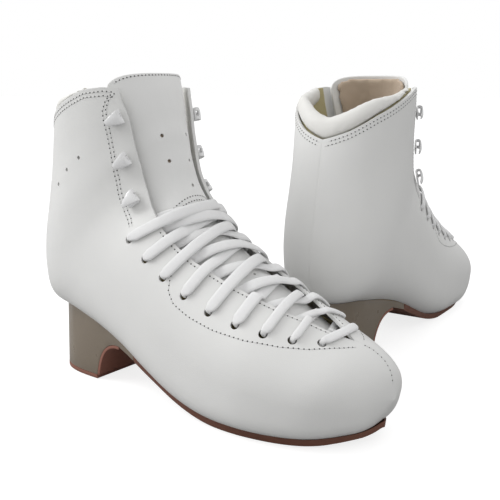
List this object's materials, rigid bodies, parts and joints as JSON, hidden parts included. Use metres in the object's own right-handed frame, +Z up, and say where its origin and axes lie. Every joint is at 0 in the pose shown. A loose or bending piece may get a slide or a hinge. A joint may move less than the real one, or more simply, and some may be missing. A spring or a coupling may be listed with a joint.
{
  "type": "figure skates",
  "caption": "Pair of white leather lace-up figure skating boots with raised heels, tall flexing tongues, speed hooks, padded collars and flat laces.",
  "frame": {"origin": "centre of the pair's overall box, on the floor that the soles and heels stand on", "axes": "+Z up, +X towards the toe of the right boot, +Y towards the left boot, whose toe points to +Y"},
  "size_m": [0.2766, 0.4077, 0.2139],
  "materials": {
    "upper_leather": "satin white full-grain leather with a fine smooth grain",
    "tongue_leather": "satin white leather, slightly softer grain",
    "collar_leather": "soft cream-white padded leather",
    "tongue_lining": "matte beige lining over foam",
    "side_suede": "yellow-olive suede, napped",
    "footbed_suede": "suede-covered footbed",
    "stiffener": "pressed fibre stiffener and insole board",
    "sole_leather": "stained brown sole leather, semi-matte edge",
    "breast_leather": "stained brown leather, with tacks",
    "heel_covering": "taupe pearl-finished covering, smooth",
    "top_lift": "brown hard rubber top lift",
    "hook_enamel": "white enamelled steel",
    "lace_cotton": "white flat woven cotton",
    "lace_tip": "clear-white plastic tip"
  },
  "bodies": {
    "boots": {"right_lateral_quarter": "upper_leather", "right_medial_quarter": "upper_leather", "right_lining": "side_suede", "right_heel_counter": "stiffener", "right_toe_puff": "stiffener", "right_insole_board": "stiffener", "right_footbed": "footbed_suede", "right_outsole": "sole_leather", "right_heel_block": "heel_covering", "right_heel_top_lift": "top_lift", "right_heel_breast_cover": "breast_leather", "right_tongue_lower": "tongue_leather", "right_tongue_lower_padding": "tongue_lining", "right_collar_pad": "collar_leather", "right_lateral_hook_1": "hook_enamel", "right_lateral_hook_2": "hook_enamel", "right_lateral_hook_3": "hook_enamel", "right_medial_hook_1": "hook_enamel", "right_medial_hook_2": "hook_enamel", "right_medial_hook_3": "hook_enamel", "right_lace": "lace_cotton", "right_lace_tip_1": "lace_tip", "right_lace_tip_2": "lace_tip", "left_lateral_quarter": "upper_leather", "left_medial_quarter": "upper_leather", "left_lining": "side_suede", "left_heel_counter": "stiffener", "left_toe_puff": "stiffener", "left_insole_board": "stiffener", "left_footbed": "footbed_suede", "left_outsole": "sole_leather", "left_heel_block": "heel_covering", "left_heel_top_lift": "top_lift", "left_heel_breast_cover": "breast_leather", "left_tongue_lower": "tongue_leather", "left_tongue_lower_padding": "tongue_lining", "left_collar_pad": "collar_leather", "left_lateral_hook_1": "hook_enamel", "left_lateral_hook_2": "hook_enamel", "left_lateral_hook_3": "hook_enamel", "left_medial_hook_1": "hook_enamel", "left_medial_hook_2": "hook_enamel", "left_medial_hook_3": "hook_enamel", "left_lace": "lace_cotton", "left_lace_tip_1": "lace_tip", "left_lace_tip_2": "lace_tip"},
    "right_upper_tongue": {"right_tongue_upper": "tongue_leather", "right_tongue_upper_padding": "tongue_lining"},
    "left_upper_tongue": {"left_tongue_upper": "tongue_leather", "left_tongue_upper_padding": "tongue_lining"}
  },
  "joints": [
    {"name": "right_tongue_flex", "type": "hinge", "parent": "boots", "child": "right_upper_tongue", "pos_m": [-0.01242, -0.15495, 0.105], "axis": [0, -1, 0], "range_deg": [0, 8], "stiffness_Nm_per_rad": 1.5},
    {"name": "left_tongue_flex", "type": "hinge", "parent": "boots", "child": "left_upper_tongue", "pos_m": [0.0226, 0.05186, 0.105], "axis": [0.9976, 0.0698, 0], "range_deg": [0, 8], "stiffness_Nm_per_rad": 1.5}
  ]
}
